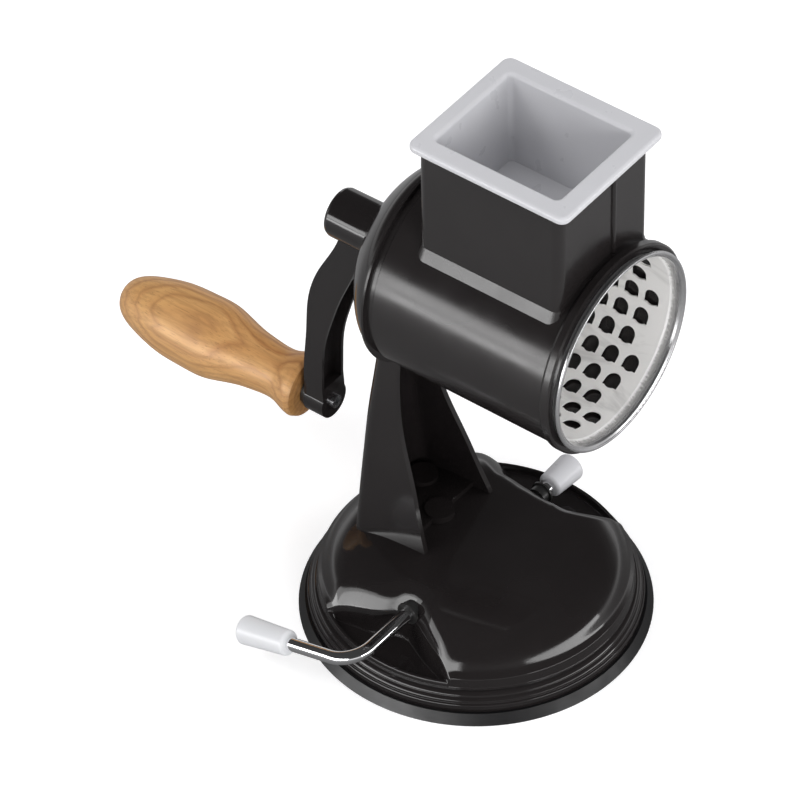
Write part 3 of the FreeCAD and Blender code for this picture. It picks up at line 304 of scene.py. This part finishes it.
def drum_steel():
    """Pale satin sheet with dark streaks painted in as reflections, and a metallic roll at the mouth.
    """
    t = Tree("drum_steel")
    lines = t.noise(t.coords(scale=(60.0, 900.0, 900.0)), 1.0, 6.0, 0.65)
    cloud = t.noise(t.coords(), 45.0, 3.0)
    reflection_streak = t.noise(t.coords(scale=(30.0, 70.0, 70.0)), 1.0, 4.0, 0.6, 0.8)
    color = t.mix(cloud, (0.92, 0.91, 0.89), (0.97, 0.96, 0.945))
    # Painted reflection: stretched dark streaks mixed into the sheet's colour stand in for the steel's
    # mottled dark reflections.
    color = t.mix(t.grey(reflection_streak, [(0.5, 0.0), (0.66, 0.6)]), color, (0.55, 0.54, 0.53))
    roll = t.grey(t.math("MULTIPLY", t.dot(t.coords(), (1.0, 0.0, 0.0)), 10.0),
                  [(0.735, 0.0), (0.775, 1.0)])
    metal = t.math("ADD", t.math("MULTIPLY", roll, 0.8), 0.04)
    color = t.mix(t.math("MULTIPLY", roll, 0.85), color, (0.38, 0.38, 0.39))
    rough = t.math("SUBTRACT", t.grey(lines, [(0.3, 0.27), (0.75, 0.38)]),
                   t.math("MULTIPLY", roll, 0.12))
    return t.set(color=color, rough=rough, metal=metal, normal=t.bump(lines, 0.05, 0.0002))


MATERIALS = {
    "gloss_black": gloss_black("gloss_black", 0.07, 0.15),
    "satin_black": gloss_black("satin_black", 0.17, 0.25),
    "cup_rubber": cup_rubber(),
    "light_grey": light_grey(),
    "near_cap_painted_lighter": near_cap_painted_lighter(),
    "rod_chrome": chrome(),
    "drum_steel": drum_steel(),
    "screw_steel": brushed("screw_steel", (0.66, 0.66, 0.68), (500.0, 500.0, 500.0), 0.2, 0.34),
    "shaft_steel": brushed("shaft_steel", (0.70, 0.70, 0.72), (1500.0, 40.0, 40.0), 0.2, 0.32),
    "bearing_plastic": nylon(),
    "spacer_black": spacer_black(),
    "grip_wood": wood(),
}
SLOT_OF = {s["node"]: s["material_slot"] for s in frame["record"]["subparts"]}
SLOT_OF["drum_housing"] = "satin_black"
# Painted light: only the near cap gets this lighter copy of the caps' plastic, and the far cap keeps
# its recorded slot.
SLOT_OF["lever_cap_near"] = "near_cap_painted_lighter"


def dress(obj, name):
    obj.data.materials.clear()
    obj.data.materials.append(MATERIALS[name])
    return obj


for node_name, node_obj in frame["nodes"].items():
    if len(node_obj.material_slots) == 0:
        node_obj.data.materials.append(MATERIALS[SLOT_OF[node_name]])
    for s in node_obj.material_slots:
        s.material = MATERIALS[SLOT_OF[node_name]]


# ------------------------------------------------------------------ base shell

CREASE_R = 70.6
DOME_R = [0.0, 20.0, 35.0, 50.0, 58.0, 64.0, 68.0, 70.6]
DOME_Z = [44.0, 43.6, 42.3, 39.0, 35.6, 31.6, 27.3, 22.8]
EDGE_R = [70.6, 72.7, 73.5]
EDGE_Z = [22.8, 20.6, 15.5]
SKIRT_LINE = [(73.5, 15.5), (73.6, 14.9), (72.9, 14.6), (72.9, 14.1), (74.2, 13.9), (75.3, 12.6),
              (75.3, 12.1), (76.0, 11.6), (76.9, 10.6), (76.9, 9.3), (77.5, 9.3), (77.9, 8.6),
              (78.0, 5.0), (75.8, 5.0), (75.2, 7.0), (71.0, 11.5), (70.9, 14.0)]
CORNER = 0.16
FLOOR_Z, RIM_Z, RIM_R = 14.5, 18.0, 71.0
NEAR_LINE = [(-60, 67), (-46, 63.3), (-30, 59.0), (-18.5, 57.0), (-12, 54.8), (-7, 51.8), (-3, 50.6),
             (1, 50.8), (6, 52.9), (12, 56.0), (18, 58.4), (25.4, 61.2), (31, 63.6), (45, 71), (60, 80)]
FAR_LINE = [(-60, 80), (-44, 68.5), (-33, 61.5), (-26, 57.3), (-20, 53.6), (-14, 50.4), (-8, 49.0),
            (-3, 48.0), (3, 47.6), (9, 47.4), (14, 48.0), (19, 49.8), (24, 53.4), (30, 59.0),
            (44, 74), (60, 92)]
LEVER_X, LEVER_Z, LEVER_YAW = 1.0, 31.5, math.radians(-1.3)
LEVER_HOLE_R = 3.65
HOLE_FROM_Y = 38.0
WALL = 2.4
RING_POINTS = 1200
POCKET_STEEP = 9.0


def curve_through(xs, ys, start, end):
    """Cubic spline through the points with the given end slopes, straight beyond them."""
    xs, ys = np.array(xs, float), np.array(ys, float)
    n = len(xs)
    a, b = np.zeros((n, n)), np.zeros(n)
    h = np.diff(xs)
    s = np.diff(ys) / h
    a[0, 0] = a[-1, -1] = 1.0
    b[0], b[-1] = start, end
    for i in range(1, n - 1):
        a[i, i - 1], a[i, i], a[i, i + 1] = h[i], 2 * (h[i] + h[i - 1]), h[i - 1]
        b[i] = 3 * (h[i] * s[i - 1] + h[i - 1] * s[i])
    m = np.linalg.solve(a, b)

    def value(x):
        x = np.asarray(x, float)
        i = np.clip(np.searchsorted(xs, x) - 1, 0, n - 2)
        t = np.clip((x - xs[i]) / h[i], 0.0, 1.0)
        inside = ((1 + 2 * t) * (1 - t) ** 2 * ys[i] + t * (1 - t) ** 2 * h[i] * m[i]
                  + t * t * (3 - 2 * t) * ys[i + 1] + t * t * (t - 1) * h[i] * m[i + 1])
        return inside + np.minimum(x - xs[0], 0) * m[0] + np.maximum(x - xs[-1], 0) * m[-1]
    return value


DOME_CURVE = curve_through(DOME_R, DOME_Z, 0.0, -1.6)
NEAR_CURVE = curve_through(*zip(*NEAR_LINE), -0.25, 0.6)
FAR_CURVE = curve_through(*zip(*FAR_LINE), -0.9, 1.4)


def soft_min(a, b, k):
    """The lower of two heights, blended where they are closer than k."""
    h = np.maximum(k - np.abs(a - b), 0.0) / k
    return np.minimum(a, b) - h * h * k * 0.25


def dome_height(r):
    """Height of the dome's top at radius r, down to the edge of the wall."""
    return np.where(r < CREASE_R, DOME_CURVE(np.minimum(r, CREASE_R)), np.interp(r, EDGE_R, EDGE_Z))


def pocket_height(x, out, r, line, low_mid, low_drop, slope, inset):
    """Height of one finger pocket's floor, rim and rising wall; out is the distance from X."""
    step = 0.05
    turn = (line(x + step) - line(x - step)) / (2 * step)
    d = (line(x) - out) / np.sqrt(1 + turn * turn) - inset
    low = low_mid - low_drop * x * x
    wall = np.where(d > 0, low + slope * d, low + POCKET_STEEP * d)
    if inset == 0:
        ground = np.interp(r, [RIM_R - 0.6, RIM_R + 0.4], [FLOOR_Z, RIM_Z])
    else:
        ground = FLOOR_Z - inset
    return -soft_min(-wall, -ground, 1.2)


def shell_height(x, y, r, inset):
    """Height of the shell's outside, or of its inside when inset is the wall's thickness."""
    top = dome_height(r) if inset == 0 else dome_height(r + 0.7 * inset) - 0.7 * inset
    near = pocket_height(x, -y, r, NEAR_CURVE, 29.2, 0.0060, 1.75, inset)
    far = pocket_height(x, y, r, FAR_CURVE, 27.0, 0.0060, 1.6, inset)
    blend = 5.0 if inset == 0 else 0.5
    return soft_min(soft_min(top, near, blend), far, blend)


def bevelled(line, width):
    """The line with each inner corner cut back by width, so that it takes a thin glint."""
    out = [line[0]]
    for before, here, after in zip(line, line[1:], line[2:]):
        for other in (before, after):
            span = math.dist(here, other)
            share = min(width, 0.4 * span) / span
            out.append((here[0] + share * (other[0] - here[0]),
                        here[1] + share * (other[1] - here[1])))
    return out + [line[-1]]


def make_base():
    """The base shell as rings of points: outside down to the skirt's foot, then back up inside."""
    count = RING_POINTS
    angle = np.arange(count) * 2 * math.pi / count
    cos, sin = np.cos(angle), np.sin(angle)
    radii = np.concatenate([np.arange(1.0, 40.0, 3.0), np.arange(40.0, 46.0, 1.0),
                            np.arange(46.0, 72.4, 0.4), np.arange(72.5, 73.51, 0.125)])
    rows = []
    for r in radii:
        rows.append((r, shell_height(r * cos, r * sin, np.full(count, r), 0.0)))
    for r, z in bevelled(SKIRT_LINE, CORNER):
        rows.append((r, np.full(count, z)))
    for r in np.concatenate([np.arange(70.8, 44.0, -0.8), np.arange(43.0, 1.0, -3.0)]):
        rows.append((r, shell_height(r * cos, r * sin, np.full(count, r), WALL)))
    points = np.concatenate([np.stack([r * cos, r * sin, z], 1) for r, z in rows])
    ring = np.arange(count)
    after = (ring + 1) % count
    faces = [np.stack([i * count + ring, (i + 1) * count + ring, (i + 1) * count + after,
                       i * count + after], 1) for i in range(len(rows) - 1)]
    faces = np.concatenate(faces)
    centre = points[faces].mean(axis=1)
    along = centre[:, 1]
    side = centre[:, 0] - LEVER_X + math.tan(LEVER_YAW) * along
    hole = np.hypot(side, centre[:, 2] - LEVER_Z) < LEVER_HOLE_R
    hole &= np.abs(along) > HOLE_FROM_Y
    faces = faces[~hole].tolist()
    faces.append(list(range(count)))
    last = (len(rows) - 1) * count
    faces.append(list(range(last + count - 1, last - 1, -1)))
    me = bpy.data.meshes.new("base_shell_moulded")
    me.from_pydata((points * MM).tolist(), [], faces)
    me.update()
    me.shade_smooth()
    obj = bpy.data.objects.new("base_shell_moulded", me)
    bpy.context.scene.collection.objects.link(obj)
    dress(obj, "gloss_black")
    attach(obj, "stand")
    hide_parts("base_shell")


# ------------------------------------------------------------------ stage and light

FLOOR_HALF = 3.0
FLOOR_GLOW = 0.42
LIT_STRENGTH = 0.55


def make_floor():
    """White floor that keeps the shadow, and is darker near the object in reflections, where a contact
    shade is painted.
    """
    me = bpy.data.meshes.new("floor")
    s = FLOOR_HALF
    me.from_pydata([(-s, -s, 0), (s, -s, 0), (s, s, 0), (-s, s, 0)], [], [(0, 1, 2, 3)])
    floor = bpy.data.objects.new("floor", me)
    bpy.context.scene.collection.objects.link(floor)
    t = Tree("floor_pale")
    nt = t.nt
    grain = t.noise(t.coords(), 30.0, 3.0)
    t.set(color=t.ramp(grain, [(0.3, (0.86, 0.86, 0.86)), (0.7, (0.88, 0.88, 0.88))]), rough=0.9)
    em = nt.nodes.new("ShaderNodeEmission")
    em.inputs["Strength"].default_value = FLOOR_GLOW
    lp = nt.nodes.new("ShaderNodeLightPath")
    hit = lp.outputs["Is Camera Ray"]
    black = nt.nodes.new("ShaderNodeEmission")
    black.inputs["Strength"].default_value = 0.0
    mixer = nt.nodes.new("ShaderNodeMixShader")
    nt.links.new(hit, mixer.inputs[0])
    nt.links.new(black.outputs[0], mixer.inputs[1])
    nt.links.new(em.outputs[0], mixer.inputs[2])
    add = nt.nodes.new("ShaderNodeAddShader")
    nt.links.new(t.bsdf.outputs[0], add.inputs[0])
    nt.links.new(mixer.outputs[0], add.inputs[1])
    # Painted contact shade: reflected rays see the floor as a dark grey glow near the object, fading to
    # the lit floor further away.
    mirrored = nt.nodes.new("ShaderNodeEmission")
    mirrored.inputs["Color"].default_value = (0.08, 0.08, 0.08, 1)
    away = nt.nodes.new("ShaderNodeVectorMath")
    away.operation = "LENGTH"
    nt.links.new(t.coords(), away.inputs[0])
    share = t.grey(away.outputs["Value"], [(0.10, 0.86), (0.22, 0.66), (0.45, 0.40), (0.95, 0.10)])
    painted_shade_mask = t.math("MULTIPLY", share, t.math("MAXIMUM", lp.outputs["Is Glossy Ray"],
                                            lp.outputs["Is Transmission Ray"]))
    last = nt.nodes.new("ShaderNodeMixShader")
    nt.links.new(painted_shade_mask, last.inputs[0])
    nt.links.new(add.outputs[0], last.inputs[1])
    nt.links.new(mirrored.outputs[0], last.inputs[2])
    nt.links.new(last.outputs[0], nt.nodes["Material Output"].inputs["Surface"])
    me.materials.append(t.mat)


def make_world():
    """White to the camera, even light for diffuse rays, and a dark room in reflections."""
    world = bpy.data.worlds.new("studio")
    bpy.context.scene.world = world
    world.use_nodes = True
    nt = world.node_tree
    lp = nt.nodes.new("ShaderNodeLightPath")
    lit = nt.nodes.new("ShaderNodeBackground")
    lit.inputs["Color"].default_value = (0.98, 0.98, 1.0, 1)
    lit.inputs["Strength"].default_value = LIT_STRENGTH
    white = nt.nodes["Background"]
    white.inputs["Color"].default_value = (1, 1, 1, 1)
    white.inputs["Strength"].default_value = 1.0
    tc = nt.nodes.new("ShaderNodeTexCoord")
    sep = nt.nodes.new("ShaderNodeSeparateXYZ")
    nt.links.new(tc.outputs["Generated"], sep.inputs[0])
    ramp = nt.nodes.new("ShaderNodeValToRGB")
    el = ramp.color_ramp.elements
    el[0].position = 0.0
    el[0].color = (1, 1, 1, 1)
    el[1].position = 0.40
    el[1].color = (0.05, 0.05, 0.05, 1)
    for pos, tone in ((0.08, 1.0), (0.15, 0.4), (0.24, 0.12)):
        e = el.new(pos)
        e.color = (tone, tone, tone, 1)
    nt.links.new(sep.outputs["Z"], ramp.inputs["Fac"])
    room = nt.nodes.new("ShaderNodeBackground")
    room.inputs["Strength"].default_value = 1.0
    nt.links.new(ramp.outputs["Color"], room.inputs["Color"])
    glossy = nt.nodes.new("ShaderNodeMixShader")
    nt.links.new(lp.outputs["Is Glossy Ray"], glossy.inputs[0])
    nt.links.new(lit.outputs[0], glossy.inputs[1])
    nt.links.new(room.outputs[0], glossy.inputs[2])
    mixer = nt.nodes.new("ShaderNodeMixShader")
    nt.links.new(lp.outputs["Is Camera Ray"], mixer.inputs[0])
    nt.links.new(glossy.outputs[0], mixer.inputs[1])
    nt.links.new(white.outputs[0], mixer.inputs[2])
    nt.links.new(mixer.outputs[0], nt.nodes["World Output"].inputs["Surface"])


def area(name, loc, target, size, power, size_y=None, mirrored=True, lighting=True):
    """Rectangular lamp in metres and watts; mirrored and lighting say which rays see it."""
    data = bpy.data.lights.new(name, "AREA")
    data.shape = "RECTANGLE"
    data.size = size
    data.size_y = size_y or size
    data.energy = power
    obj = bpy.data.objects.new(name, data)
    bpy.context.scene.collection.objects.link(obj)
    obj.location = loc
    obj.rotation_mode = "QUATERNION"
    obj.rotation_quaternion = (Vector(target) - Vector(loc)).to_track_quat("-Z", "Y")
    obj.visible_glossy = mirrored
    obj.visible_diffuse = lighting


make_base()
make_floor()
make_world()
area("key", (-1.3, -1.3, 1.8), (0, 0, 0.15), 1.1, 16.0, mirrored=False)
area("fill", (1.7, -1.0, 0.75), (0, 0, 0.2), 0.9, 17.0, mirrored=False)
area("side", (1.2, 1.3, 0.9), (0.1, 0.1, 0.1), 0.9, 8.0, mirrored=False)
area("top", (0.0, 0.1, 2.1), (0, 0, 0.1), 1.1, 3.0, mirrored=False)
area("strip_broad", (-0.25, -1.12, 0.24), (0, 0, 0.2), 1.9, 9.0, 0.46, lighting=False)
area("strip_core", (-0.2, -1.8, 0.42), (0, 0, 0.16), 2.2, 7.5, 0.34, lighting=False)
area("strip_low", (-0.45, -1.1, 0.08), (0, 0, 0.1), 1.3, 3.0, 0.15, lighting=False)
area("strip_side", (1.5, 0.2, 0.2), (0, 0, 0.1), 1.7, 8.0, 0.26, lighting=False)
